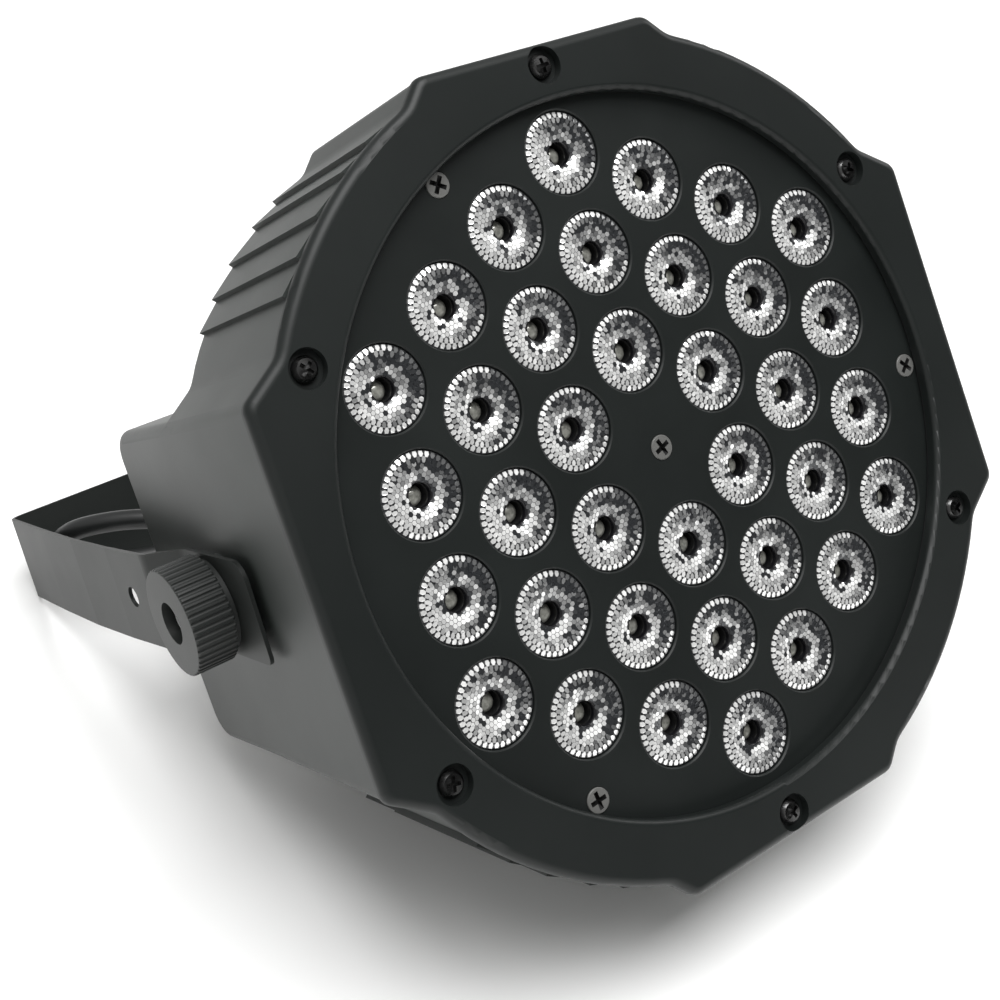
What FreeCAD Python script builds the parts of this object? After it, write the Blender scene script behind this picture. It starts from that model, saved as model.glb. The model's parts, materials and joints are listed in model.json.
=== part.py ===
import FreeCAD, Part
import math
import os

# Stage par can light: a flat moulded head with 36 LED lenses, hung in a U-shaped steel bracket.
# All sizes are in millimetres.
#
# Head frame, in which everything is modelled first: the origin is the middle of the lens
# plate's front face, +X runs along the tilt axis, +Y up the face and +Z out of the face.
# Row frame, in which everything is written out: the lamp stands on its back on a floor at
# Z = 0, leaning on the rim of its shell and on the bar of its bracket, with its face towards
# -Y and tilted up. Its origin is the bottom centre of the lamp without its mains lead.

V = FreeCAD.Vector
X_AXIS = V(1, 0, 0)
Y_AXIS = V(0, 1, 0)
Z_AXIS = V(0, 0, 1)

# ---------------------------------------------------------------- driving dimensions
LENS_PITCH = 24.5
LENS_D = 19.9
LENS_HOLE_D = 20.2
LENS_TOP_Z = -1.2
LENS_BOTTOM_Z = -14.0
LENS_BOTTOM_D = 8.0
LENS_WELL_D = 5.6
LENS_WELL_DEPTH = 5.0
LENS_FACE_DISH = 1.2
GRID_ANGLE = -30.0

PLATE_R = 90.5
PLATE_T = 2.0
PLATE_SCREW_R = 82.8
PLATE_SCREW_ANGLES = (115.0, 235.0, 355.0)

BEZEL_SIDE_X = 97.3
BEZEL_TOP_Y = 98.9
BEZEL_ARC_R = 100.7
SIDE_FLAT_HALF = 43.9
TOP_FLAT_HALF = 33.0
SIDE_STEP_END = 30.5
TOP_STEP_END = 67.6
BEZEL_FRONT_Z = 4.2
BEZEL_BACK_Z = 1.0
BEZEL_INNER_R = 85.7
BEZEL_CORNER_R = 4.0
BEZEL_HOLLOW_R = 8.0
BEZEL_EDGE_R = 2.3
BEZEL_LIP_R = 1.4
BEZEL_SCREW_R = 93.8
BEZEL_SCREW_ANGLES = (-30.0, 30.0, 90.0, 150.0, 210.0, 270.0)
COUNTERBORE_D = 9.0
COUNTERBORE_DEPTH = 2.4

GASKET_T = 0.9
GASKET_INSET = 2.2

SHELL_FRONT_Z = BEZEL_BACK_Z - GASKET_T
SHELL_RIM_Z = -58.8
SHELL_BACK_Z = -107.0
SHELL_INSET = 0.5
SHELL_TAPER = 0.9707
SHELL_WALL = 2.6
RIB_ANGLES = (118.8, 124.0, 130.7, 136.5, 141.7)
RIB_RISE = 1.3
RIB_SINK = 0.2
BOX_HALF_H = 43.6
BOX_EDGE_R = 3.0
BOX_BACK_R = 8.0

PIVOT_Z = -51.0
STRAP_W = 25.0
STRAP_T = 1.0
STRAP_REAR_X = 105.2
STRAP_PIVOT_X = 98.3
STRAP_LENGTH = 141.3
STRAP_NOSE = 22.0
JOGGLE_FRONT = 12.0
JOGGLE_BACK = 24.0
JOGGLE_BEND_R = 6.0
ARM_BOW = ((48.0, 1.1), (75.0, 1.6), (105.0, 1.1))
BRACKET_SWING = 5.6
STRAP_CORNER_R = 4.0
NOSE_UPPER_R = 5.0
NOSE_LOWER_R = 2.0
PIVOT_HOLE_R = 3.3
SIDE_HOLE_R = 2.75
SIDE_HOLE_BACK = 38.0
CLAMP_HOLE_R = 5.25
BAR_HOLE_R = 3.3
BAR_HOLE_X = 28.0

KNOB_R = 13.2
KNOB_FACE_X = 110.2
KNOB_BACK_X = 99.6
KNOB_RIDGES = 48
KNOB_WELL_R = 5.2
STUD_R = 3.0
STUD_END_X = 84.0
WASHER_R = 11.2
WASHER_X = (98.4, 99.5)
BOSS_R = 11.0
BOSS_X = 97.2
NUT_BORE_R = 3.08

PANEL_W = 152.0
PANEL_H = 70.0
PANEL_T = 2.0
PANEL_LIP = 6.0
PANEL_CORNER_R = 4.0
PANEL_SCREW = (71.5, 30.5)
PANEL_FIT = 0.3

SOCKET_IN_X = -34.0
SOCKET_OUT_X = 0.0
SOCKET_Y = 0.0
SOCKET_FLANGE = (26.0, 31.0)
SOCKET_FLANGE_T = 1.8
SOCKET_SCREW = (9.5, 12.0)
SOCKET_BARREL_R = 10.5
SOCKET_CUP_R = 8.0
SOCKET_DEPTH = 19.0

DISPLAY_X = 46.0
DISPLAY_Y = 12.0
DISPLAY_SIZE = (38.0, 16.0)
BUTTON_Y = -12.0
BUTTON_PITCH = 11.0
BUTTON_R = 3.2
BUTTON_PROUD = 2.2
BUTTON_TRAVEL = 1.2

GLAND_X = -62.0
GLAND_Y = 8.0
CORD_R = 3.0
RELIEF_LENGTH = 24.0

COIL_CENTRE = (8.0, 110.0)
COIL_INNER_R = 27.0
COIL_OUTER_R = 39.0
COIL_H = 12.0

# ---------------------------------------------------------------- placing
swing = math.radians(BRACKET_SWING)


def bracket_point(across, back):
    """Head-frame (y, z) of a point of the strap, from its width and its distance behind."""
    y = across * math.cos(swing) + back * math.sin(swing)
    z = across * math.sin(swing) - back * math.cos(swing) + PIVOT_Z
    return y, z


RIM_Y = -(BEZEL_TOP_Y - SHELL_INSET) * SHELL_TAPER
BAR_EDGE = bracket_point(-STRAP_W / 2, STRAP_LENGTH)
TILT = math.atan2(BAR_EDGE[0] - RIM_Y, SHELL_RIM_Z - BAR_EDGE[1])
TURN = 90.0 - math.degrees(TILT)


def floor_coordinates(y, z):
    """Distance back along the floor and height above it, from the shell's rim."""
    along = (y - RIM_Y) * math.sin(TILT) - (z - SHELL_RIM_Z) * math.cos(TILT)
    height = (y - RIM_Y) * math.cos(TILT) + (z - SHELL_RIM_Z) * math.sin(TILT)
    return along, height


def to_row(shape, origin_y):
    """Tilts a head-frame shape onto the floor."""
    placed = shape.copy()
    placed.rotate(V(0, 0, 0), X_AXIS, TURN)
    along, height = floor_coordinates(0.0, 0.0)
    placed.translate(V(0, along - origin_y, height))
    return placed


def polar(radius, degrees, z=0.0):
    a = math.radians(degrees)
    return V(radius * math.cos(a), radius * math.sin(a), z)


def cylinder(radius, z0, z1, x=0.0, y=0.0):
    return Part.makeCylinder(radius, z1 - z0, V(x, y, z0))


def cylinder_x(radius, x0, x1, y, z):
    return Part.makeCylinder(radius, x1 - x0, V(x0, y, z), X_AXIS)


def block(x0, x1, y0, y1, z0, z1):
    return Part.makeBox(x1 - x0, y1 - y0, z1 - z0, V(x0, y0, z0))


def mirrored_x(shape):
    return shape.mirror(V(0, 0, 0), X_AXIS)


def turned(shape, degrees):
    copy = shape.copy()
    copy.rotate(V(0, 0, 0), Z_AXIS, degrees)
    return copy


def union(shapes):
    return shapes[0].multiFuse(shapes[1:]).removeSplitter()


def rounded_plate(width, height, radius, z0, z1, x=0.0, y=0.0):
    """A flat rectangular plate with round corners, between two heights."""
    plate = block(x - width / 2, x + width / 2, y - height / 2, y + height / 2, z0, z1)
    return plate.makeFillet(radius, edges_along(plate, Z_AXIS))


def edges_along(shape, axis):
    """The straight edges that run along an axis."""
    found = []
    for edge in shape.Edges:
        if len(edge.Vertexes) == 2 and isinstance(edge.Curve, Part.Line):
            direction = edge.Vertexes[1].Point.sub(edge.Vertexes[0].Point)
            if direction.normalize().cross(axis).Length < 1e-4:
                found.append(edge)
    return found


def revolve_z(points, x=0.0, y=0.0):
    """A turned piece from its (radius, z) outline."""
    wire = Part.makePolygon([V(r, 0, z) for r, z in points + points[:1]])
    solid = Part.Face(wire).revolve(V(0, 0, 0), Z_AXIS, 360)
    solid.translate(V(x, y, 0))
    return solid


# ---------------------------------------------------------------- outline of the head
def outline_corners(inset, scale):
    """One quadrant's corners, from the side flat round to the top flat."""
    side = V(BEZEL_SIDE_X - inset, SIDE_FLAT_HALF - inset * 0.5, 0)
    step_in = polar(BEZEL_ARC_R - inset, SIDE_STEP_END)
    step_out = polar(BEZEL_ARC_R - inset, TOP_STEP_END)
    top = V(TOP_FLAT_HALF - inset * 0.5, BEZEL_TOP_Y - inset, 0)
    return [point * scale for point in (side, step_in, step_out, top)]


def quadrant_edges(inset, scale, ribs):
    """Edges of the outline's first quadrant, from the side flat's corner to the top's.

    The ribs are shingles: each one rises slowly and drops at its edge.
    """
    side, step_in, step_out, top = outline_corners(inset, scale)
    radius = (BEZEL_ARC_R - inset) * scale
    edges = [Part.LineSegment(side, step_in).toShape()]
    if ribs:
        low = radius - RIB_SINK * scale
        path = [step_in]
        for angle in sorted(180.0 - a for a in RIB_ANGLES):
            path.append(polar(low, angle))
            path.append(polar(low + RIB_RISE * scale, angle))
        path.append(step_out)
        middle = polar(radius, (SIDE_STEP_END + 180.0 - RIB_ANGLES[-1]) / 2)
        edges.append(Part.Arc(path[0], middle, path[1]).toShape())
        for start, end in zip(path[1:-1], path[2:]):
            edges.append(Part.LineSegment(start, end).toShape())
    else:
        middle = polar(radius, (SIDE_STEP_END + TOP_STEP_END) / 2)
        edges.append(Part.Arc(step_in, middle, step_out).toShape())
    edges.append(Part.LineSegment(step_out, top).toShape())
    return edges


def outline_wire(inset, z, scale=1.0, ribs=False):
    """The closed outline of the head, at a height, shrunk towards its middle."""
    first = Part.Wire(quadrant_edges(inset, scale, ribs))
    second = first.mirror(V(0, 0, 0), X_AXIS)
    third = second.mirror(V(0, 0, 0), Y_AXIS)
    fourth = first.mirror(V(0, 0, 0), Y_AXIS)
    side, _, _, top = outline_corners(inset, scale)
    flats = []
    for sign in (1, -1):
        flats.append(Part.LineSegment(V(sign * side.x, -side.y, 0), V(sign * side.x, side.y, 0)))
        flats.append(Part.LineSegment(V(-top.x, sign * top.y, 0), V(top.x, sign * top.y, 0)))
    pieces = first.Edges + second.Edges + third.Edges + fourth.Edges
    pieces += [flat.toShape() for flat in flats]
    wire = Part.Wire(Part.sortEdges(pieces)[0])
    wire.translate(V(0, 0, z))
    return wire


def corner_edges(shape, angles, spread=1.6):
    """The long edges of a prism whose middle lies at one of the angles, in any quadrant."""
    wanted = [a for angle in angles for a in (angle, 180 - angle, 180 + angle, 360 - angle)]
    found = []
    for edge in shape.Edges:
        low = edge.BoundBox
        if low.ZLength < 2.0 or low.XLength > 8.0 or low.YLength > 8.0:
            continue
        at = math.degrees(math.atan2(low.Center.y, low.Center.x)) % 360.0
        if any(abs(at - a) < spread for a in wanted):
            found.append(edge)
    return found


def corner_angles():
    side, _, _, top = outline_corners(0.0, 1.0)
    convex = [math.degrees(math.atan2(p.y, p.x)) for p in (side, top)]
    return convex, [SIDE_STEP_END, TOP_STEP_END]


def soften_corners(prism, convex_r, hollow_r):
    """Rounds the outline's corners and the hollows beside them."""
    convex, hollow = corner_angles()
    prism = prism.makeFillet(convex_r, corner_edges(prism, convex, 0.8))
    return prism.makeFillet(hollow_r, corner_edges(prism, hollow, 0.8))


def edges_at_z(shape, z, reach=1e6):
    return [e for e in shape.Edges if e.BoundBox.ZLength < 0.01
            and abs(e.BoundBox.Center.z - z) < 0.01 and e.BoundBox.DiagonalLength < reach]


# ---------------------------------------------------------------- front of the head
def front_bezel():
    face = Part.Face(outline_wire(0.0, BEZEL_BACK_Z))
    ring = face.extrude(V(0, 0, BEZEL_FRONT_Z - BEZEL_BACK_Z))
    ring = soften_corners(ring, BEZEL_CORNER_R, BEZEL_HOLLOW_R)
    ring = ring.makeFillet(BEZEL_EDGE_R, edges_at_z(ring, BEZEL_FRONT_Z))
    ring = ring.cut(cylinder(BEZEL_INNER_R, BEZEL_BACK_Z - 1, BEZEL_FRONT_Z + 1))
    lip = [e for e in edges_at_z(ring, BEZEL_FRONT_Z) if abs(e.BoundBox.XMax - BEZEL_INNER_R) < 0.1]
    ring = ring.makeFillet(BEZEL_LIP_R, lip)
    cuts = []
    for angle in BEZEL_SCREW_ANGLES:
        at = polar(BEZEL_SCREW_R, angle)
        cuts.append(cylinder(COUNTERBORE_D / 2, BEZEL_FRONT_Z - COUNTERBORE_DEPTH, 9, at.x, at.y))
        cuts.append(cylinder(1.75, BEZEL_BACK_Z - 1, 9, at.x, at.y))
    return ring.cut(Part.makeCompound(cuts))


def bezel_gasket():
    face = Part.Face(outline_wire(GASKET_INSET, SHELL_FRONT_Z))
    ring = face.extrude(V(0, 0, GASKET_T))
    holes = [cylinder(BEZEL_INNER_R + 0.6, -9, 9)]
    for angle in BEZEL_SCREW_ANGLES:
        at = polar(BEZEL_SCREW_R, angle)
        holes.append(cylinder(1.75, -9, 9, at.x, at.y))
    return ring.cut(Part.makeCompound(holes))


def cross_recess(z_top, size=3.4, depth=1.5, width=0.9):
    """The cross slot of a Phillips head, whose top is at a height."""
    return union([block(-size / 2, size / 2, -width / 2, width / 2, z_top - depth, z_top + 1),
                  block(-width / 2, width / 2, -size / 2, size / 2, z_top - depth, z_top + 1)])


def pan_screw(head_r, head_h, shank_r, length, z_head):
    """A pan-head screw along Z whose head's underside is at a height."""
    dome = revolve_z([(0, z_head - length), (shank_r, z_head - length), (shank_r, z_head),
                      (head_r, z_head), (head_r, z_head + head_h * 0.4),
                      (head_r * 0.75, z_head + head_h * 0.85), (0, z_head + head_h)])
    return dome.cut(cross_recess(z_head + head_h, head_r * 1.15, head_h * 0.75))


def countersunk_screw(head_r, head_h, shank_r, length, z_top):
    """A countersunk screw along Z whose flat top is at a height."""
    body = revolve_z([(0, z_top - length), (shank_r, z_top - length), (shank_r, z_top - head_h),
                      (head_r, z_top - 0.3), (head_r, z_top), (0, z_top + 0.25)])
    return body.cut(cross_recess(z_top, head_r * 1.15, head_h * 0.8))


def bezel_screws():
    seat = BEZEL_FRONT_Z - COUNTERBORE_DEPTH
    one = pan_screw(3.0, 2.0, 1.4, 14.0, seat + 0.02)
    screws = []
    for index, angle in enumerate(BEZEL_SCREW_ANGLES):
        screw = turned(one, 20.0 + 37.0 * index)
        screw.translate(polar(BEZEL_SCREW_R, angle))
        screws.append(screw)
    return Part.makeCompound(screws)


def plate_screw_points():
    return [V(0, 0, 0)] + [polar(PLATE_SCREW_R, a) for a in PLATE_SCREW_ANGLES]


def plate_screws():
    one = countersunk_screw(3.0, 1.7, 1.45, 9.0, 0.15)
    screws = []
    for index, point in enumerate(plate_screw_points()):
        screw = turned(one, 15.0 + 41.0 * index)
        screw.translate(point)
        screws.append(screw)
    return Part.makeCompound(screws)


def lens_points(ring):
    """Centres of one hexagonal ring of lenses, 6 to a side times the ring's number."""
    corners = [polar(LENS_PITCH * ring, GRID_ANGLE + 60.0 * k) for k in range(7)]
    points = []
    for start, end in zip(corners, corners[1:]):
        for step in range(ring):
            points.append(start + (end - start) * (step / ring))
    return points


LENS_RINGS = {1: lens_points(1), 2: lens_points(2), 3: lens_points(3)}
ALL_LENSES = LENS_RINGS[1] + LENS_RINGS[2] + LENS_RINGS[3]


def lens_plate():
    plate = cylinder(PLATE_R, -PLATE_T, 0)
    edge = LENS_HOLE_D / 2
    hole = revolve_z([(0, -9), (edge, -9), (edge, -0.35), (edge + 0.4, 0.05), (edge + 0.4, 9), (0, 9)])
    cuts = []
    for at in ALL_LENSES:
        copy = hole.copy()
        copy.translate(at)
        cuts.append(copy)
    for p in plate_screw_points():
        cuts.append(revolve_z([(0, -9), (1.6, -9), (1.6, -1.7), (3.15, -0.1), (3.15, 1), (0, 1)],
                              p.x, p.y))
    return plate.cut(Part.makeCompound(cuts))


def lens():
    """A moulded collimator: a dished annular face over a cone, with a well in its middle."""
    top = LENS_TOP_Z
    low = top - LENS_FACE_DISH
    return revolve_z([(0, low - LENS_WELL_DEPTH), (LENS_WELL_D / 2, low - LENS_WELL_DEPTH),
                      (LENS_WELL_D / 2, low), (LENS_D * 0.34, low + 0.25), (LENS_D / 2 - 0.7, top),
                      (LENS_D / 2, top), (LENS_D / 2, top - 2.0), (LENS_BOTTOM_D / 2, LENS_BOTTOM_Z),
                      (3.0, LENS_BOTTOM_Z), (3.0, LENS_BOTTOM_Z + 2.2), (0, LENS_BOTTOM_Z + 2.6)])


def lens_group(ring):
    one = lens()
    group = []
    for point in LENS_RINGS[ring]:
        copy = one.copy()
        copy.translate(point)
        group.append(copy)
    return Part.makeCompound(group)


def lens_holders():
    one = revolve_z([(10.2, -PLATE_T - 0.1), (11.2, -PLATE_T - 0.1), (11.2, -15.9), (4.6, -15.9),
                     (4.6, -14.2), (10.2, -3.6)])
    group = []
    for point in ALL_LENSES:
        copy = one.copy()
        copy.translate(point)
        group.append(copy)
    return Part.makeCompound(group)


# ---------------------------------------------------------------- light engine behind the plate
BOARD_FRONT_Z = -16.0
BOARD_T = 1.6
SINK_FRONT_Z = BOARD_FRONT_Z - BOARD_T - 0.1
SINK_T = 3.0
FIN_BACK_Z = -44.0
BOARD_R = 87.0


def led_emitters():
    group = []
    for p in ALL_LENSES:
        base = block(p.x - 1.8, p.x + 1.8, p.y - 1.8, p.y + 1.8, BOARD_FRONT_Z, BOARD_FRONT_Z + 0.9)
        dome = Part.makeSphere(1.5, V(p.x, p.y, BOARD_FRONT_Z + 0.9), Z_AXIS, 0, 90, 360)
        group.append(base.fuse(dome))
    return Part.makeCompound(group)


def led_board():
    board = cylinder(BOARD_R, BOARD_FRONT_Z - BOARD_T, BOARD_FRONT_Z)
    holes = [cylinder(1.7, -30, 0, p.x, p.y) for p in plate_screw_points()]
    return board.cut(Part.makeCompound(holes))


def heat_sink():
    back = SINK_FRONT_Z - SINK_T
    pieces = [cylinder(BOARD_R - 1, back, SINK_FRONT_Z)]
    for k in range(-6, 7):
        x = k * 11.0
        half = math.sqrt((BOARD_R - 6) ** 2 - x ** 2)
        pieces.append(block(x - 0.9, x + 0.9, -half, half, FIN_BACK_Z, back + 0.5))
    return union(pieces)


def plate_pillars():
    """Hexagonal spacers that hold the plate off the LED board."""
    group = []
    for p in plate_screw_points():
        hexagon = Part.makePolygon([polar(2.5, 60 * k, BOARD_FRONT_Z) for k in range(7)])
        pillar = Part.Face(hexagon).extrude(V(0, 0, -PLATE_T - BOARD_FRONT_Z))
        pillar = pillar.cut(cylinder(1.46, -9.2, 0))
        pillar.translate(p)
        group.append(pillar)
    return Part.makeCompound(group)


# ---------------------------------------------------------------- shell
def side_wall_x(z):
    """Outer face of the shell's side at a depth."""
    share = (z - SHELL_FRONT_Z) / (SHELL_RIM_Z - SHELL_FRONT_Z)
    return (BEZEL_SIDE_X - SHELL_INSET) * (1 - (1 - SHELL_TAPER) * share)


def box_wire(half_x, half_y, z):
    corners = [(-1, -1), (1, -1), (1, 1), (-1, 1), (-1, -1)]
    return Part.makePolygon([V(half_x * sx, half_y * sy, z) for sx, sy in corners])


def rear_box(inset, front_z, back_z, edge_r, back_r):
    """The block across the back of the head that holds the electronics."""
    wires = []
    for z in (front_z, back_z):
        half_y = BOX_HALF_H - inset - 0.008 * (front_z - z)
        wires.append(box_wire(side_wall_x(z) - inset, half_y, z))
    solid = Part.makeLoft(wires, True, True)
    long_back = [e for e in edges_at_z(solid, back_z) if e.BoundBox.XLength > 50]
    solid = solid.makeFillet(back_r, long_back)
    slanted = []
    for edge in solid.Edges:
        box = edge.BoundBox
        if box.ZLength > 30 and box.XLength < 8 and box.YLength < 8:
            slanted.append(edge)
    return solid.makeFillet(edge_r, slanted)


def shell_outer():
    front = outline_wire(SHELL_INSET, SHELL_FRONT_Z, 1.0, True)
    rear = outline_wire(SHELL_INSET, SHELL_RIM_Z, SHELL_TAPER, True)
    can = Part.makeLoft([front, rear], True, True)
    can = soften_corners(can, 3.6, 7.0)
    return can


def bezel_bosses():
    bosses = []
    for angle in BEZEL_SCREW_ANGLES:
        at = polar(BEZEL_SCREW_R, angle)
        bosses.append(cylinder(3.4, -24.0, SHELL_FRONT_Z, at.x, at.y))
    return bosses


def housing_shell():
    can = shell_outer()
    inner_front = outline_wire(SHELL_INSET + SHELL_WALL, SHELL_FRONT_Z + 0.5)
    inner_rear = outline_wire(SHELL_INSET + SHELL_WALL, SHELL_RIM_Z + SHELL_WALL, SHELL_TAPER)
    cavity = Part.makeLoft([inner_front, inner_rear], True, True)
    box = rear_box(0.0, SHELL_RIM_Z + 6.0, SHELL_BACK_Z, BOX_EDGE_R, BOX_BACK_R)
    inner_back_z = SHELL_BACK_Z + PANEL_T + 2.5
    box_cavity = rear_box(SHELL_WALL, SHELL_RIM_Z + 8.0, inner_back_z, 1.0, 6.0)
    shell = can.fuse(box).cut(Part.makeCompound([cavity])).cut(box_cavity)
    boss = cylinder_x(BOSS_R, side_wall_x(PIVOT_Z) - 1.2, BOSS_X, 0, PIVOT_Z)
    nut_wall = cylinder_x(BOSS_R + 1, 86.5, side_wall_x(PIVOT_Z) - 1.0, 0, PIVOT_Z)
    ledge = cylinder(PLATE_R + 6, -4.6, -PLATE_T - 0.1).cut(cylinder(PLATE_R - 2.6, -9, 9))
    ledge = ledge.common(Part.Face(outline_wire(SHELL_INSET + 0.8, -6)).extrude(V(0, 0, 5)))
    for addition in [boss, mirrored_x(boss), nut_wall, mirrored_x(nut_wall), ledge] + bezel_bosses():
        shell = shell.fuse(addition)
    cuts = []
    stud_hole = cylinder_x(STUD_R + 0.5, 80, 100, 0, PIVOT_Z)
    pocket = hex_prism_x(5.15, 86.4, 91.9, 0, PIVOT_Z)
    cuts += [stud_hole, mirrored_x(stud_hole), pocket, mirrored_x(pocket)]
    for angle in BEZEL_SCREW_ANGLES:
        at = polar(BEZEL_SCREW_R, angle)
        cuts.append(cylinder(1.41, -16.0, 1.0, at.x, at.y))
    cuts.append(cylinder(PLATE_R + 0.3, -PLATE_T - 0.1, 3))
    cuts.append(rounded_plate(PANEL_W, PANEL_H, PANEL_CORNER_R, SHELL_BACK_Z - 1,
                              SHELL_BACK_Z + PANEL_T))
    cuts.append(rounded_plate(PANEL_W - 2 * PANEL_LIP, PANEL_H - 2 * PANEL_LIP, 2.0,
                              SHELL_BACK_Z - 1, inner_back_z + 2))
    for sx in (-1, 1):
        for sy in (-1, 1):
            x = sx * PANEL_SCREW[0]
            y = sy * PANEL_SCREW[1]
            cuts.append(cylinder(1.21, SHELL_BACK_Z, SHELL_BACK_Z + 9, x, y))
    for k in range(9):
        x = -44.0 + 11.0 * k
        for y0, y1 in ((58.0, 76.0), (-76.0, -58.0)):
            cuts.append(block(x - 1.5, x + 1.5, y0, y1, SHELL_RIM_Z - 2, SHELL_RIM_Z + 5))
    return shell.cut(Part.makeCompound(cuts))


def hex_prism_x(apothem, x0, x1, y, z):
    radius = apothem / math.cos(math.radians(30))
    points = []
    for k in range(7):
        a = math.radians(60 * k)
        points.append(V(x0, y + radius * math.cos(a), z + radius * math.sin(a)))
    return Part.Face(Part.makePolygon(points)).extrude(V(x1 - x0, 0, 0))


def pivot_nuts():
    nut = hex_prism_x(5.0, 86.9, 91.8, 0, PIVOT_Z).cut(cylinder_x(NUT_BORE_R, 80, 100, 0, PIVOT_Z))
    return Part.makeCompound([nut, mirrored_x(nut)])


# ---------------------------------------------------------------- rear panel and what is on it
PANEL_FACE_Z = SHELL_BACK_Z
PANEL_INNER_Z = SHELL_BACK_Z + PANEL_T
BUTTON_XS = [DISPLAY_X + BUTTON_PITCH * (k - 1.5) for k in range(4)]


def socket_screw_points(x):
    dx, dy = SOCKET_SCREW
    return [V(x - dx, SOCKET_Y + dy, 0), V(x + dx, SOCKET_Y - dy, 0)]


def rear_panel():
    panel = rounded_plate(PANEL_W - PANEL_FIT * 2, PANEL_H - PANEL_FIT * 2, PANEL_CORNER_R,
                          PANEL_FACE_Z, PANEL_INNER_Z)
    cuts = []
    for x in (SOCKET_IN_X, SOCKET_OUT_X):
        cuts.append(cylinder(SOCKET_BARREL_R + 0.2, -120, -90, x, SOCKET_Y))
        cuts += [cylinder(1.25, -120, -90, p.x, p.y) for p in socket_screw_points(x)]
    cuts.append(rounded_plate(DISPLAY_SIZE[0], DISPLAY_SIZE[1], 1.0, -120, -90, DISPLAY_X, DISPLAY_Y))
    cuts += [cylinder(BUTTON_R + 0.3, -120, -90, x, BUTTON_Y) for x in BUTTON_XS]
    cuts.append(latch_slot())
    cuts.append(cylinder(4.6, -120, -90, GLAND_X, GLAND_Y))
    cuts.append(cylinder(1.2, -120, -90, DISPLAY_X, -25.0))
    for sx in (-1, 1):
        for sy in (-1, 1):
            cuts.append(cylinder(1.7, -120, -90, sx * PANEL_SCREW[0], sy * PANEL_SCREW[1]))
    for k in range(6):
        x = -60.0 + 8.0 * k
        cuts.append(block(x - 1.2, x + 1.2, -29.0, -21.5, -120, -90))
    return panel.cut(Part.makeCompound(cuts))


def flipped(shape):
    """Turns a piece made along +Z so that it points out of the back."""
    copy = shape.copy()
    copy.rotate(V(0, 0, 0), X_AXIS, 180)
    return copy


def panel_screws():
    one = flipped(pan_screw(2.6, 1.7, 1.2, 8.5, 0.0))
    group = []
    for sx in (-1, 1):
        for sy in (-1, 1):
            copy = one.copy()
            copy.translate(V(sx * PANEL_SCREW[0], sy * PANEL_SCREW[1], PANEL_FACE_Z - 0.02))
            group.append(copy)
    return Part.makeCompound(group)


def socket_screws():
    one = flipped(pan_screw(2.2, 1.4, 1.1, 7.0, 0.0))
    group = []
    for x in (SOCKET_IN_X, SOCKET_OUT_X):
        for p in socket_screw_points(x):
            copy = one.copy()
            copy.translate(V(p.x, p.y, PANEL_FACE_Z - SOCKET_FLANGE_T - 0.04))
            group.append(copy)
    return Part.makeCompound(group)


def socket_body(x):
    """Flange and barrel that both data sockets share."""
    face = PANEL_FACE_Z - SOCKET_FLANGE_T - 0.02
    flange = rounded_plate(SOCKET_FLANGE[0], SOCKET_FLANGE[1], 3.0, face, PANEL_FACE_Z - 0.02,
                           x, SOCKET_Y)
    barrel = cylinder(SOCKET_BARREL_R, PANEL_FACE_Z - 0.02, face + SOCKET_DEPTH, x, SOCKET_Y)
    body = flange.fuse(barrel)
    holes = [cylinder(1.25, -120, -90, p.x, p.y) for p in socket_screw_points(x)]
    return body.cut(Part.makeCompound(holes)), face


def pin_points(x):
    return [V(x, SOCKET_Y, 0) + polar(4.2, a) for a in (30.0, 150.0, 270.0)]


def dmx_in_socket():
    body, face = socket_body(SOCKET_IN_X)
    cup = cylinder(SOCKET_CUP_R, face - 1, face + 14.0, SOCKET_IN_X, SOCKET_Y)
    holes = [cylinder(1.21, face, face + 30, p.x, p.y) for p in pin_points(SOCKET_IN_X)]
    return body.cut(cup).cut(Part.makeCompound(holes))


def dmx_in_pins():
    face = PANEL_FACE_Z - SOCKET_FLANGE_T
    pins = []
    for p in pin_points(SOCKET_IN_X):
        pin = cylinder(1.2, face + 3.0, face + 22.0, p.x, p.y)
        pins.append(pin.makeFillet(0.6, edges_at_z(pin, face + 3.0)))
    return Part.makeCompound(pins)


def dmx_out_socket():
    body, face = socket_body(SOCKET_OUT_X)
    ring = cylinder(8.6, face - 1, face + 13.0, SOCKET_OUT_X, SOCKET_Y)
    core = cylinder(7.2, face - 2, face + 14.0, SOCKET_OUT_X, SOCKET_Y)
    holes = [cylinder(1.5, face - 1, face + 16.0, p.x, p.y) for p in pin_points(SOCKET_OUT_X)]
    slot = latch_slot()
    return body.cut(ring.cut(core)).cut(Part.makeCompound(holes)).cut(slot)


LATCH_SIZE = (6.0, 3.4)
LATCH_Y = SOCKET_Y + 12.1


def latch_slot():
    return block(SOCKET_OUT_X - LATCH_SIZE[0] / 2 - 0.25, SOCKET_OUT_X + LATCH_SIZE[0] / 2 + 0.25,
                 LATCH_Y - LATCH_SIZE[1] / 2 - 0.25, LATCH_Y + LATCH_SIZE[1] / 2 + 0.25, -120, -98)


def dmx_latch():
    front = PANEL_FACE_Z - SOCKET_FLANGE_T - 2.0
    tab = block(SOCKET_OUT_X - LATCH_SIZE[0] / 2, SOCKET_OUT_X + LATCH_SIZE[0] / 2,
                LATCH_Y - LATCH_SIZE[1] / 2, LATCH_Y + LATCH_SIZE[1] / 2, front, front + 5.0)
    return tab.makeFillet(0.7, edges_at_z(tab, front))


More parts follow.
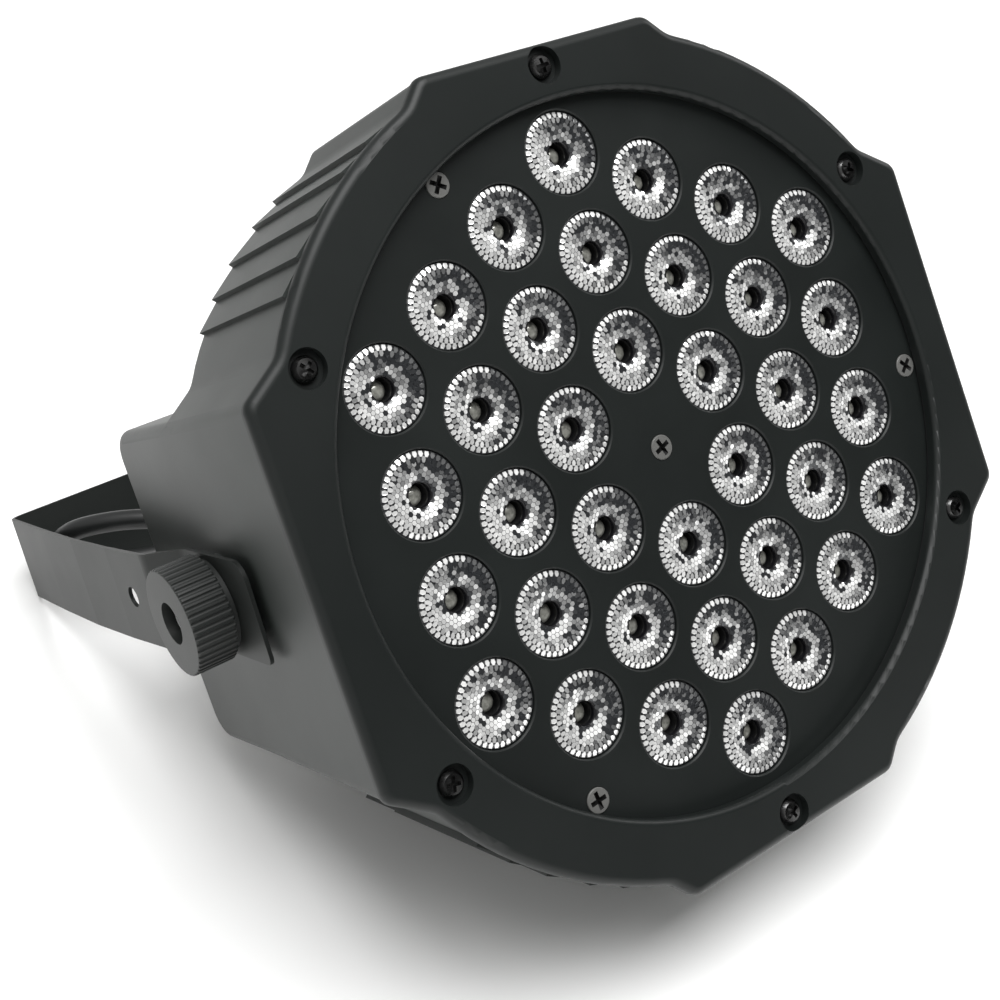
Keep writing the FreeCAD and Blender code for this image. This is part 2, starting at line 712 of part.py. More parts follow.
def dmx_out_contacts():
    face = PANEL_FACE_Z - SOCKET_FLANGE_T
    group = []
    for p in pin_points(SOCKET_OUT_X):
        tube = cylinder(1.45, face + 4.0, face + 15.0, p.x, p.y)
        group.append(tube.cut(cylinder(1.22, face + 3.0, face + 14.0, p.x, p.y)))
    return Part.makeCompound(group)


def display_window():
    width = DISPLAY_SIZE[0] - 0.3
    height = DISPLAY_SIZE[1] - 0.3
    return rounded_plate(width, height, 0.9, PANEL_FACE_Z + 0.3, PANEL_INNER_Z, DISPLAY_X, DISPLAY_Y)


DISPLAY_BACK_Z = PANEL_INNER_Z + 0.2


def display_module():
    body = block(DISPLAY_X - 17, DISPLAY_X + 17, DISPLAY_Y - 7, DISPLAY_Y + 7,
                 DISPLAY_BACK_Z, DISPLAY_BACK_Z + 6.8)
    return body


CONTROL_BOARD_Z = DISPLAY_BACK_Z + 7.0


def control_board():
    board = block(18.0, 74.0, -30.0, 26.0, CONTROL_BOARD_Z, CONTROL_BOARD_Z + 1.6)
    return board


def control_board_chips():
    top = CONTROL_BOARD_Z + 1.7
    chips = [block(30, 42, -10, -2, top, top + 1.6), block(50, 60, 2, 12, top, top + 1.8),
             block(24, 30, 8, 20, top, top + 5.0), block(60, 70, -24, -16, top, top + 7.0)]
    for x in BUTTON_XS:
        chips.append(block(x - 3, x + 3, BUTTON_Y - 3, BUTTON_Y + 3, CONTROL_BOARD_Z - 3.4,
                           CONTROL_BOARD_Z - 0.1))
    chips.append(cylinder(3.0, CONTROL_BOARD_Z - 5.0, CONTROL_BOARD_Z - 0.1, DISPLAY_X, -25.0))
    return Part.makeCompound(chips)


def menu_button(index):
    x = BUTTON_XS[index]
    front = PANEL_FACE_Z - BUTTON_PROUD
    cap = cylinder(BUTTON_R, front, PANEL_INNER_Z - 0.4, x, BUTTON_Y)
    cap = cap.makeFillet(0.8, edges_at_z(cap, front))
    switch_z = CONTROL_BOARD_Z - 3.4
    stem = cylinder(1.4, PANEL_INNER_Z - 0.5, switch_z - BUTTON_TRAVEL - 0.15, x, BUTTON_Y)
    return cap.fuse(stem).removeSplitter()


POWER_BOARD_Z = -92.0


def power_board():
    return block(-76.0, 12.0, -34.0, 34.0, POWER_BOARD_Z + 12.0, POWER_BOARD_Z + 13.6)


def power_parts():
    base = POWER_BOARD_Z + 13.7
    parts = [block(-66, -42, -12, 12, base, base + 18), block(-36, -18, 12, 26, base, base + 14)]
    for x, y, r, h in ((-30, -10, 6.0, 16.0), (-12, -18, 6.0, 16.0), (0, 10, 4.0, 12.0)):
        parts.append(cylinder(r, base, base + h, x, y))
    for x in (-70.0, -56.0):
        parts.append(cylinder(2.6, base, base + 9.0, x, -26.0))
    return Part.makeCompound(parts)


def board_pillars():
    pillars = []
    for x, y in ((-70, 30), (6, 30), (-38, -31), (6, -31)):
        pillars.append(cylinder(2.5, POWER_BOARD_Z + 13.7, FIN_BACK_Z + 0.0 - 0.3, x, y))
    return Part.makeCompound(pillars)


# ---------------------------------------------------------------- bracket and its clamp knobs
def strap_outline():
    """Outer line of the strap seen from above, as (x, back) corners from left nose to right."""
    half = [(-STRAP_PIVOT_X, -STRAP_NOSE), (-STRAP_PIVOT_X, JOGGLE_FRONT), (-STRAP_REAR_X, JOGGLE_BACK)]
    half += [(-STRAP_REAR_X - bow, back) for back, bow in ARM_BOW]
    half.append((-STRAP_REAR_X, STRAP_LENGTH))
    return half + [(-x, back) for x, back in reversed(half)]


def arm_x(back):
    """Outer face of the right arm's bowed stretch, at a distance behind the pivot."""
    stations = [(JOGGLE_BACK, 0.0)] + list(ARM_BOW) + [(STRAP_LENGTH, 0.0)]
    for (near, low), (far, high) in zip(stations, stations[1:]):
        if near <= back <= far:
            return STRAP_REAR_X + low + (high - low) * (back - near) / (far - near)
    return STRAP_PIVOT_X


def inner_offset(points, thickness):
    """The line parallel to an open line of corners, a thickness to its inner side."""
    normals = []
    for (x0, y0), (x1, y1) in zip(points, points[1:]):
        length = math.hypot(x1 - x0, y1 - y0)
        normals.append(((y1 - y0) / length, (x0 - x1) / length))
    shifted = []
    for point, before, after in zip(points, normals[:1] + normals, normals + normals[-1:]):
        nx = before[0] + after[0]
        ny = before[1] + after[1]
        scale = 2.0 * thickness / (nx * nx + ny * ny)
        shifted.append((point[0] + nx * scale, point[1] + ny * scale))
    return shifted


def to_strap(shape):
    """Turns a piece from the strap's own frame (x, across, back) to the head frame."""
    placed = shape.copy()
    placed.rotate(V(0, 0, 0), X_AXIS, BRACKET_SWING)
    placed.translate(V(0, 0, PIVOT_Z))
    return placed


def strap_corner_edges(solid, back, reach):
    found = []
    for edge in edges_along(solid, Y_AXIS):
        middle = edge.BoundBox.Center
        if abs(-middle.z - back) < reach:
            found.append(edge)
    return found


def bracket():
    outer = strap_outline()
    loop = outer + list(reversed(inner_offset(outer, STRAP_T)))
    corners = [V(x, -STRAP_W / 2, -back) for x, back in loop + loop[:1]]
    strap = Part.Face(Part.makePolygon(corners)).extrude(V(0, STRAP_W, 0))
    strap = strap.makeFillet(STRAP_CORNER_R, strap_corner_edges(strap, STRAP_LENGTH, 0.1))
    strap = strap.makeFillet(STRAP_CORNER_R - STRAP_T,
                             strap_corner_edges(strap, STRAP_LENGTH - STRAP_T, 0.1))
    for back in (JOGGLE_FRONT, JOGGLE_BACK):
        strap = strap.makeFillet(JOGGLE_BEND_R, strap_corner_edges(strap, back, 0.9))
    for sign, radius in ((1, NOSE_UPPER_R), (-1, NOSE_LOWER_R)):
        nose = [e for e in edges_along(strap, X_AXIS)
                if e.BoundBox.ZMin > STRAP_NOSE - 1 and e.BoundBox.Center.y * sign > 0]
        strap = strap.makeFillet(radius, nose)
    cuts = []
    pivot = cylinder_x(PIVOT_HOLE_R, 90, 112, 0, 0)
    side = cylinder_x(SIDE_HOLE_R, 90, 112, 0, -SIDE_HOLE_BACK)
    cuts += [pivot, mirrored_x(pivot), side, mirrored_x(side)]
    cuts.append(cylinder(CLAMP_HOLE_R, -STRAP_LENGTH - 5, -STRAP_LENGTH + 5))
    for x in (-BAR_HOLE_X, BAR_HOLE_X):
        cuts.append(cylinder(BAR_HOLE_R, -STRAP_LENGTH - 5, -STRAP_LENGTH + 5, x, 0))
    return to_strap(strap.cut(Part.makeCompound(cuts)))


def clamp_washer(side):
    washer = cylinder_x(WASHER_R, WASHER_X[0], WASHER_X[1], 0, PIVOT_Z)
    washer = washer.cut(cylinder_x(STUD_R + 0.06, 90, 120, 0, PIVOT_Z))
    return washer if side > 0 else mirrored_x(washer)


def clamp_knob(side):
    """A ridged knob: a fluted barrel with a plain collar behind it."""
    barrel = cylinder_x(KNOB_R, KNOB_BACK_X + 0.4, KNOB_FACE_X, 0, PIVOT_Z)
    rims = [e for e in barrel.Edges if e.BoundBox.XLength < 0.01]
    barrel = barrel.makeFillet(0.6, rims)
    flutes = []
    for k in range(KNOB_RIDGES):
        a = math.radians(360.0 / KNOB_RIDGES * k)
        y = (KNOB_R + 0.2) * math.cos(a)
        z = PIVOT_Z + (KNOB_R + 0.2) * math.sin(a)
        flutes.append(cylinder_x(0.62, KNOB_BACK_X, KNOB_FACE_X + 1, y, z))
    barrel = barrel.cut(Part.makeCompound(flutes))
    collar = cylinder_x(8.0, KNOB_BACK_X, KNOB_BACK_X + 2.0, 0, PIVOT_Z)
    knob = barrel.fuse(collar)
    well = cylinder_x(KNOB_WELL_R, KNOB_FACE_X - 3.5, KNOB_FACE_X + 1, 0, PIVOT_Z)
    bore = cylinder_x(STUD_R + 0.02, 80, KNOB_FACE_X - 2, 0, PIVOT_Z)
    knob = knob.cut(well).cut(bore).removeSplitter()
    return knob if side > 0 else mirrored_x(knob)


def knob_stud(side):
    """The threaded insert and stud moulded into the knob."""
    stud = cylinder_x(STUD_R, STUD_END_X, KNOB_FACE_X - 2.2, 0, PIVOT_Z)
    ends = [e for e in stud.Edges if e.BoundBox.XLength < 0.01 and e.BoundBox.XMin < STUD_END_X + 1]
    stud = stud.makeChamfer(0.8, ends)
    stud = stud.cut(hex_prism_x(1.25, KNOB_FACE_X - 4.0, KNOB_FACE_X, 0, PIVOT_Z))
    return stud if side > 0 else mirrored_x(stud)


# ---------------------------------------------------------------- mains lead, in the row frame
def relief_frame():
    """Where the strain relief leaves the panel, and its tip, in floor coordinates."""
    root = floor_coordinates(GLAND_Y, SHELL_BACK_Z)
    tip = floor_coordinates(GLAND_Y, SHELL_BACK_Z - RELIEF_LENGTH)
    return root, tip


def cord_gland():
    """A moulded collar through the panel with a tapered, ribbed sleeve around the cord."""
    face = SHELL_BACK_Z
    end = face - RELIEF_LENGTH
    bore = CORD_R + 0.03
    outline = [(bore, PANEL_INNER_Z + 2.4), (7.0, PANEL_INNER_Z + 2.4), (7.0, PANEL_INNER_Z + 0.1),
               (4.5, PANEL_INNER_Z + 0.1), (4.5, face - 0.1), (7.0, face - 0.1), (7.0, face - 2.4),
               (5.6, face - 3.4)]
    steps = 6
    for k in range(steps):
        z = face - 4.6 - k * (RELIEF_LENGTH - 6.0) / steps
        radius = 5.4 - 1.3 * k / (steps - 1)
        outline += [(radius, z), (radius, z - 1.5), (radius - 0.7, z - 1.5), (radius - 0.7, z - 2.6)]
    outline += [(CORD_R + 0.8, end), (bore, end)]
    return revolve_z(outline, GLAND_X, GLAND_Y)


def lead_route(origin_y):
    """Control points of the free stretch of the mains lead, from the panel to the coil."""
    root, tip = relief_frame()
    start = V(GLAND_X, root[0] - origin_y, root[1])
    end = V(GLAND_X, tip[0] - origin_y, tip[1])
    inside = start - (end - start) * 0.22
    free = [(-65.5, 127.0, 37.8), (-72.5, 134.0, 36.6), (-80.5, 140.5, 36.0), (-88.5, 146.5, 34.0),
            (-94.5, 152.0, 30.5), (-97.3, 156.8, 25.0), (-96.8, 160.0, 18.5), (-92.5, 161.2, 12.5),
            (-85.5, 159.6, 8.2), (-76.5, 156.4, 6.3), (-66.0, 153.4, 6.0), (-50.0, 149.4, 7.4),
            (-32.0, 146.6, 8.8), (-13.0, 146.0, 9.0), (5.0, 145.9, 9.0)]
    points = [inside, end]
    points += [V(x, y - origin_y, z) for x, y, z in free]
    return points


def tangent_arc_path(points):
    """Straight runs joined by arcs as large as the runs allow; prints each arc's radius."""
    edges = []
    radii = []
    at = points[0]
    for before, corner, after in zip(points, points[1:], points[2:]):
        run_in = corner - before
        run_out = after - corner
        turn = run_in.getAngle(run_out)
        reach = 0.45 * min(run_in.Length, run_out.Length)
        start = corner - run_in.normalize() * reach
        end = corner + run_out.normalize() * reach
        radius = reach / math.tan(turn / 2)
        inward = (end - corner).normalize() + (start - corner).normalize()
        middle = corner + inward.normalize() * (radius / math.cos(turn / 2) - radius)
        edges.append(Part.LineSegment(at, start).toShape())
        edges.append(Part.Arc(start, middle, end).toShape())
        radii.append(round(radius, 1))
        at = end
    edges.append(Part.LineSegment(at, points[-1]).toShape())
    print("cord radii", radii)
    return Part.Wire(edges)


def power_cord(origin_y):
    path = tangent_arc_path(lead_route(origin_y))
    first = path.Edges[0]
    direction = first.Vertexes[1].Point - first.Vertexes[0].Point
    section = Part.Wire(Part.makeCircle(CORD_R, first.Vertexes[0].Point, direction))
    tube = path.makePipeShell([section], True, True)
    solid = Part.Solid(tube) if tube.ShapeType == "Shell" else tube
    ideal = math.pi * CORD_R ** 2 * path.Length
    print("cord length", round(path.Length, 1), "volume ratio", round(solid.Volume / ideal, 4),
          "valid", solid.isValid())
    return solid


def power_cord_coil(origin_y):
    x, y = COIL_CENTRE
    ring = cylinder(COIL_OUTER_R, 0, COIL_H, x, y - origin_y)
    ring = ring.cut(cylinder(COIL_INNER_R, -1, COIL_H + 1, x, y - origin_y))
    return ring.makeFillet(2.4, [e for z in (0, COIL_H) for e in edges_at_z(ring, z)])


def coil_tie(origin_y):
    """A flat band wrapped round the coil's turns."""
    x, y = COIL_CENTRE
    middle = (COIL_INNER_R + COIL_OUTER_R) / 2
    outer = block(-4.0, 4.0, -7.6, 7.6, 0.0, COIL_H + 1.5)
    outer = outer.makeFillet(3.0, [e for e in edges_along(outer, X_AXIS) if e.BoundBox.ZMin > 5])
    inner = block(-5.0, 5.0, -6.35, 6.35, -1.0, COIL_H + 0.25)
    band = outer.cut(inner)
    band.translate(V(x, y - origin_y - middle, 0))
    return band


PLUG_X = 34.0
PLUG_LENGTH = 34.0


def mains_plug(origin_y):
    """A flat two-pin moulded plug lying beside the coil."""
    y = COIL_CENTRE[1] + COIL_OUTER_R - CORD_R - origin_y
    z = 5.6
    sections = []
    for x, half_w, half_h in ((PLUG_X, 3.6, 3.6), (PLUG_X + 12, 5.0, 4.6),
                              (PLUG_X + 20, 8.4, 5.5), (PLUG_X + PLUG_LENGTH, 8.6, 5.5)):
        corners = [V(x, y - half_w, z - half_h), V(x, y + half_w, z - half_h),
                   V(x, y + half_w, z + half_h), V(x, y - half_w, z + half_h),
                   V(x, y - half_w, z - half_h)]
        sections.append(Part.makePolygon(corners))
    return Part.makeLoft(sections, True, True)


def plug_pins(origin_y):
    y = COIL_CENTRE[1] + COIL_OUTER_R - CORD_R - origin_y
    pins = []
    for dy in (-4.8, 4.8):
        pin = cylinder_x(1.6, PLUG_X + PLUG_LENGTH + 0.02, PLUG_X + PLUG_LENGTH + 15.0, y + dy, 5.6)
        pins.append(pin)
    return Part.makeCompound(pins)


def plug_lead(origin_y):
    """The last short straight of the lead, from the coil's bottom turn into the plug."""
    y = COIL_CENTRE[1] + COIL_OUTER_R - CORD_R - origin_y
    start = V(COIL_CENTRE[0] + 8.0, y - 0.6, CORD_R)
    end = V(PLUG_X + 2.0, y, 5.6)
    return Part.makeCylinder(CORD_R, (end - start).Length, start, end - start)


# ---------------------------------------------------------------- all nodes
HEAD = {
    "front_bezel": front_bezel,
    "bezel_gasket": bezel_gasket,
    "bezel_screws": bezel_screws,
    "lens_plate": lens_plate,
    "plate_screws": plate_screws,
    "lenses_inner_ring": lambda: lens_group(1),
    "lenses_middle_ring": lambda: lens_group(2),
    "lenses_outer_ring": lambda: lens_group(3),
    "lens_holders": lens_holders,
    "led_emitters": led_emitters,
    "led_board": led_board,
    "heat_sink": heat_sink,
    "plate_pillars": plate_pillars,
    "housing_shell": housing_shell,
    "pivot_nuts": pivot_nuts,
    "rear_panel": rear_panel,
    "panel_screws": panel_screws,
    "dmx_in_socket": dmx_in_socket,
    "dmx_in_pins": dmx_in_pins,
    "dmx_out_socket": dmx_out_socket,
    "dmx_out_contacts": dmx_out_contacts,
    "dmx_latch": dmx_latch,
    "socket_screws": socket_screws,
    "display_window": display_window,
    "display_module": display_module,
    "control_board": control_board,
    "control_board_parts": control_board_chips,
    "power_board": power_board,
    "power_board_parts": power_parts,
    "board_pillars": board_pillars,
    "cord_gland": cord_gland,
    "bracket": bracket,
    "left_washer": lambda: clamp_washer(-1),
    "right_washer": lambda: clamp_washer(1),
    "left_knob": lambda: clamp_knob(-1),
    "right_knob": lambda: clamp_knob(1),
    "left_stud": lambda: knob_stud(-1),
    "right_stud": lambda: knob_stud(1),
    "menu_button_1": lambda: menu_button(0),
    "menu_button_2": lambda: menu_button(1),
    "menu_button_3": lambda: menu_button(2),
    "menu_button_4": lambda: menu_button(3),
}
LEAD = {
    "power_cord": power_cord,
    "power_cord_coil": power_cord_coil,
    "coil_tie": coil_tie,
    "plug_lead": plug_lead,
    "mains_plug": mains_plug,
    "plug_pins": plug_pins,
}


def main():
    os.makedirs("parts", exist_ok=True)
    tilted = {name: to_row(make(), 0.0) for name, make in HEAD.items()}
    low = min(shape.BoundBox.YMin for shape in tilted.values())
    high = max(shape.BoundBox.YMax for shape in tilted.values())
    origin_y = (low + high) / 2
    for shape in tilted.values():
        shape.translate(V(0, -origin_y, 0))
    for name, make in LEAD.items():
        tilted[name] = make(origin_y)
    for name, shape in tilted.items():
        shape.exportStep("parts/" + name + ".step")
        if not shape.isValid():
            print("not valid:", name)
    box = Part.makeCompound(list(tilted.values())).BoundBox
    pivot = floor_coordinates(0.0, PIVOT_Z)
    print("tilt", round(math.degrees(TILT), 4), "origin_y", round(origin_y, 4))
    print("pivot", round(pivot[0] - origin_y, 3), round(pivot[1], 3))
    print("box", [round(v, 2) for v in (box.XMin, box.YMin, box.ZMin, box.XMax, box.YMax, box.ZMax)])


main()
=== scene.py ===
import json
import math
import random

import bmesh
import bpy
from mathutils import Matrix, Vector


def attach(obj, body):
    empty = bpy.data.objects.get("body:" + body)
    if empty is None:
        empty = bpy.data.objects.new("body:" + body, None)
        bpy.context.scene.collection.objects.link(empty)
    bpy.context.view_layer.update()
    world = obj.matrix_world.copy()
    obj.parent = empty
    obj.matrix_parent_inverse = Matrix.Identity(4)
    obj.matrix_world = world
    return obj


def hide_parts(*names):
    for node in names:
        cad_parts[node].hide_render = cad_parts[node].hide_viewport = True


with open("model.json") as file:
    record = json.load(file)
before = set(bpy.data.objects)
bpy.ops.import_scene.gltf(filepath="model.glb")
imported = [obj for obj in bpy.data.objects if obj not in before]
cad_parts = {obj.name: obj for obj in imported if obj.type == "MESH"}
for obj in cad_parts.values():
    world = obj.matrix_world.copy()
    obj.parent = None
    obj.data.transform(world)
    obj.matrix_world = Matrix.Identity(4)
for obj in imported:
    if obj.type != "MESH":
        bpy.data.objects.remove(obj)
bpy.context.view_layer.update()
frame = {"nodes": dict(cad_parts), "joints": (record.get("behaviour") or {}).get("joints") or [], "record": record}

# Stage par can light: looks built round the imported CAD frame. Metres, +Z up, floor at Z = 0.
# Head frame, in millimetres: origin at the middle of the lens plate's front face, x along the
# tilt axis, y up the face, z out of the face.

MM = 0.001
PIVOT_DEPTH = 51.0
PLATE_TO_AIM = (-35.3, 31.2, 0.0)
CAMERA_AT = (-216.8, 61.4, 309.5)
CAMERA_ROLL = math.radians(2.25)
CAMERA_LENS = 57.6
CAMERA_SHIFT = -0.129
WORLD_STRENGTH = 0.55
FLAG_STRENGTH = 0.02
FLAG_DIRECTION = (0.504, -0.746, 0.435)
FLAG_EDGE = (0.55, 0.85)
FLAG_TOP = (0.75, 0.55)
OVERHEAD_AT = (-0.05, -0.25, 1.6)
OVERHEAD_AIM = (-0.05, -0.2, 0.0)
OVERHEAD_SIZE = 1.2
OVERHEAD_WATTS = 31.5
KEY_AT = (1.5, -0.15, 0.95)
KEY_AIM = (0.0, 0.0, 0.08)
KEY_SIZE = 0.6
KEY_WATTS = 5.0

joints = {joint["name"]: joint for joint in frame["joints"]}
PIVOT = Vector(joints["bracket_tilt"]["pos_m"])
FACE_OUT = Vector(joints["menu_button_1_press"]["axis"])
ACROSS = Vector((1.0, 0.0, 0.0))
FACE_UP = FACE_OUT.cross(ACROSS)


def head_point(x, y, z):
    """Row-frame place of a head-frame point given in millimetres."""
    return PIVOT + (ACROSS * x + FACE_UP * y + FACE_OUT * (z + PIVOT_DEPTH)) * MM


def head_matrix():
    """Takes head-frame millimetres to the row frame in metres."""
    matrix = Matrix((ACROSS, FACE_UP, FACE_OUT)).transposed().to_4x4() @ Matrix.Scale(MM, 4)
    matrix.translation = head_point(0.0, 0.0, 0.0)
    return matrix


HEAD = head_matrix()


# ---------------------------------------------------------------- camera, light and floor
def add_camera():
    data = bpy.data.cameras.new("camera")
    data.lens = CAMERA_LENS
    data.sensor_width = 36.0
    data.shift_y = CAMERA_SHIFT
    data.clip_start = 0.01
    camera = bpy.data.objects.new("camera", data)
    bpy.context.scene.collection.objects.link(camera)
    camera.location = head_point(*CAMERA_AT)
    look = head_point(*PLATE_TO_AIM) - camera.location
    turn = look.to_track_quat("-Z", "Y").to_matrix().to_4x4()
    roll = Matrix.Rotation(CAMERA_ROLL, 4, "Z")
    camera.matrix_world = Matrix.Translation(camera.location) @ turn @ roll
    bpy.context.scene.camera = camera


def area_light(name, place, aim, size, power):
    """A square softbox."""
    data = bpy.data.lights.new(name, "AREA")
    data.shape = "SQUARE"
    data.size = size
    data.energy = power
    light = bpy.data.objects.new(name, data)
    bpy.context.scene.collection.objects.link(light)
    light.location = place
    light.rotation_euler = (Vector(aim) - Vector(place)).to_track_quat("-Z", "Y").to_euler()


def add_world():
    """A white studio all round, with one black flag low in front, to the right of the lamp."""
    world = bpy.data.worlds.new("studio")
    world.use_nodes = True
    bpy.context.scene.world = world
    nodes = world.node_tree.nodes
    links = world.node_tree.links
    background = nodes["Background"]
    coordinates = nodes.new("ShaderNodeTexCoord")

    def shade(value, from_min, from_max):
        node = nodes.new("ShaderNodeMapRange")
        node.interpolation_type = "SMOOTHSTEP"
        node.inputs["From Min"].default_value = from_min
        node.inputs["From Max"].default_value = from_max
        links.new(value, node.inputs["Value"])
        return node.outputs["Result"]

    toward_flag = nodes.new("ShaderNodeVectorMath")
    toward_flag.operation = "DOT_PRODUCT"
    toward_flag.inputs[1].default_value = FLAG_DIRECTION
    links.new(coordinates.outputs["Generated"], toward_flag.inputs[0])
    height = nodes.new("ShaderNodeSeparateXYZ")
    links.new(coordinates.outputs["Generated"], height.inputs["Vector"])
    flag = nodes.new("ShaderNodeMath")
    flag.operation = "MINIMUM"
    links.new(shade(toward_flag.outputs["Value"], *FLAG_EDGE), flag.inputs[0])
    links.new(shade(height.outputs["Z"], *FLAG_TOP), flag.inputs[1])
    strength = nodes.new("ShaderNodeMapRange")
    strength.inputs["To Min"].default_value = WORLD_STRENGTH
    strength.inputs["To Max"].default_value = FLAG_STRENGTH
    links.new(flag.outputs["Value"], strength.inputs["Value"])
    links.new(strength.outputs["Result"], background.inputs["Strength"])
    background.inputs["Color"].default_value = (1.0, 1.0, 0.99, 1.0)


def add_floor():
    bpy.ops.mesh.primitive_plane_add(size=6.0, location=(0.0, 0.0, -0.0002))
    floor = bpy.context.object
    floor.name = "floor"
    material = bpy.data.materials.new("floor_white")
    material.use_nodes = True
    shader = material.node_tree.nodes["Principled BSDF"]
    shader.inputs["Base Color"].default_value = (0.96, 0.96, 0.955, 1.0)
    shader.inputs["Roughness"].default_value = 0.6
    shader.inputs["Specular IOR Level"].default_value = 0.3
    floor.data.materials.append(material)


# ---------------------------------------------------------------- pieces on the head
def head_piece(name, copies, looks, node):
    """Joins meshes in head millimetres into one piece that stands for a CAD node."""
    whole = bmesh.new()
    for copy in copies:
        data = bpy.data.meshes.new("copy")
        copy.to_mesh(data)
        whole.from_mesh(data)
        copy.free()
        bpy.data.meshes.remove(data)
    whole.transform(HEAD)
    data = bpy.data.meshes.new(name)
    whole.to_mesh(data)
    whole.free()
    for look in looks:
        data.materials.append(look)
    piece = bpy.data.objects.new(name, data)
    bpy.context.scene.collection.objects.link(piece)
    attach(piece, "head")
    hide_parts(node)


# ---------------------------------------------------------------- materials
class Shader:
    """A Principled material under construction, with object coordinates for its textures."""

    def __init__(self, name, color, roughness, metallic=0.0):
        self.material = bpy.data.materials.new(name)
        self.material.use_nodes = True
        self.nodes = self.material.node_tree.nodes
        self.links = self.material.node_tree.links
        self.surface = self.nodes["Principled BSDF"]
        self.surface.inputs["Base Color"].default_value = (*color, 1.0)
        self.surface.inputs["Roughness"].default_value = roughness
        self.surface.inputs["Metallic"].default_value = metallic
        self.color = color
        self.roughness = roughness
        self.coordinates = self.nodes.new("ShaderNodeTexCoord").outputs["Object"]

    def set(self, **values):
        for name, value in values.items():
            self.surface.inputs[name.replace("_", " ")].default_value = value
        return self

    def noise(self, scale, detail=4.0, roughness=0.55):
        node = self.nodes.new("ShaderNodeTexNoise")
        node.inputs["Scale"].default_value = scale
        node.inputs["Detail"].default_value = detail
        node.inputs["Roughness"].default_value = roughness
        self.links.new(self.coordinates, node.inputs["Vector"])
        return node.outputs["Fac"]

    def voronoi(self, scale, feature="F1"):
        node = self.nodes.new("ShaderNodeTexVoronoi")
        node.feature = feature
        node.inputs["Scale"].default_value = scale
        self.links.new(self.coordinates, node.inputs["Vector"])
        return node.outputs["Distance"]

    def spread(self, value, low, high, from_low=0.3, from_high=0.7):
        node = self.nodes.new("ShaderNodeMapRange")
        node.inputs["From Min"].default_value = from_low
        node.inputs["From Max"].default_value = from_high
        node.inputs["To Min"].default_value = low
        node.inputs["To Max"].default_value = high
        self.links.new(value, node.inputs["Value"])
        return node.outputs["Result"]

    def mix_color(self, factor, first, second):
        node = self.nodes.new("ShaderNodeMix")
        node.data_type = "RGBA"
        self.links.new(factor, node.inputs["Factor"])
        for socket, value in (("A", first), ("B", second)):
            target = [s for s in node.inputs if s.name == socket and s.type == "RGBA"][0]
            if isinstance(value, tuple):
                target.default_value = (*value, 1.0)
            else:
                self.links.new(value, target)
        return [s for s in node.outputs if s.type == "RGBA"][0]

    def tint(self, value, amount, low=0.35, high=0.65):
        """Varies the base colour by a share either side."""
        dark = tuple(c * (1 - amount) for c in self.color)
        light = tuple(min(1.0, c * (1 + amount)) for c in self.color)
        mixed = self.mix_color(self.spread(value, 0.0, 1.0, low, high), dark, light)
        self.links.new(mixed, self.surface.inputs["Base Color"])
        return self

    def rough(self, value, amount):
        low = max(0.02, self.roughness - amount)
        high = min(1.0, self.roughness + amount)
        self.links.new(self.spread(value, low, high), self.surface.inputs["Roughness"])
        return self

    def bump(self, value, strength, distance):
        node = self.nodes.new("ShaderNodeBump")
        node.inputs["Strength"].default_value = strength
        node.inputs["Distance"].default_value = distance
        self.links.new(value, node.inputs["Height"])
        previous = self.surface.inputs["Normal"]
        if previous.is_linked:
            self.links.new(previous.links[0].from_socket, node.inputs["Normal"])
        self.links.new(node.outputs["Normal"], self.surface.inputs["Normal"])
        return self


def grained_plastic(name, color, roughness, grain=2600.0, depth=0.00004, specular=0.5):
    """Moulded plastic with a fine spark-eroded grain and slow changes of gloss."""
    shader = Shader(name, color, roughness)
    shader.set(Specular_IOR_Level=specular)
    shader.tint(shader.noise(24.0), 0.10)
    shader.rough(shader.noise(9.0, 6.0), 0.06)
    shader.bump(shader.noise(grain, 2.0, 0.6), 0.35, depth)
    return shader.material


def coated_metal(name, color, roughness, specular=0.5):
    """Powder coat: a faint orange peel over smooth sheet."""
    shader = Shader(name, color, roughness)
    shader.set(Specular_IOR_Level=specular)
    shader.tint(shader.noise(30.0), 0.12)
    shader.rough(shader.noise(14.0, 5.0), 0.05)
    shader.bump(shader.noise(1500.0, 3.0), 0.25, 0.00003)
    return shader.material


def bare_metal(name, color, roughness, grain=(1.0, 1.0, 30.0)):
    shader = Shader(name, color, roughness, 1.0)
    mapping = shader.nodes.new("ShaderNodeMapping")
    mapping.inputs["Scale"].default_value = grain
    shader.links.new(shader.coordinates, mapping.inputs["Vector"])
    shader.coordinates = mapping.outputs["Vector"]
    shader.tint(shader.noise(120.0), 0.10)
    shader.rough(shader.noise(300.0, 6.0), 0.08)
    shader.bump(shader.noise(700.0, 4.0), 0.15, 0.00003)
    return shader.material


def rubber(name, color, roughness):
    shader = Shader(name, color, roughness)
    shader.tint(shader.noise(60.0), 0.15)
    shader.rough(shader.noise(40.0), 0.08)
    shader.bump(shader.noise(900.0, 3.0), 0.2, 0.00004)
    return shader.material


def board(name, color):
    """Solder mask over copper tracks that show as faint lines."""
    shader = Shader(name, color, 0.3)
    shader.tint(shader.voronoi(260.0, "DISTANCE_TO_EDGE"), 0.35, 0.02, 0.12)
    shader.bump(shader.voronoi(260.0, "DISTANCE_TO_EDGE"), 0.3, 0.00005)
    return shader.material


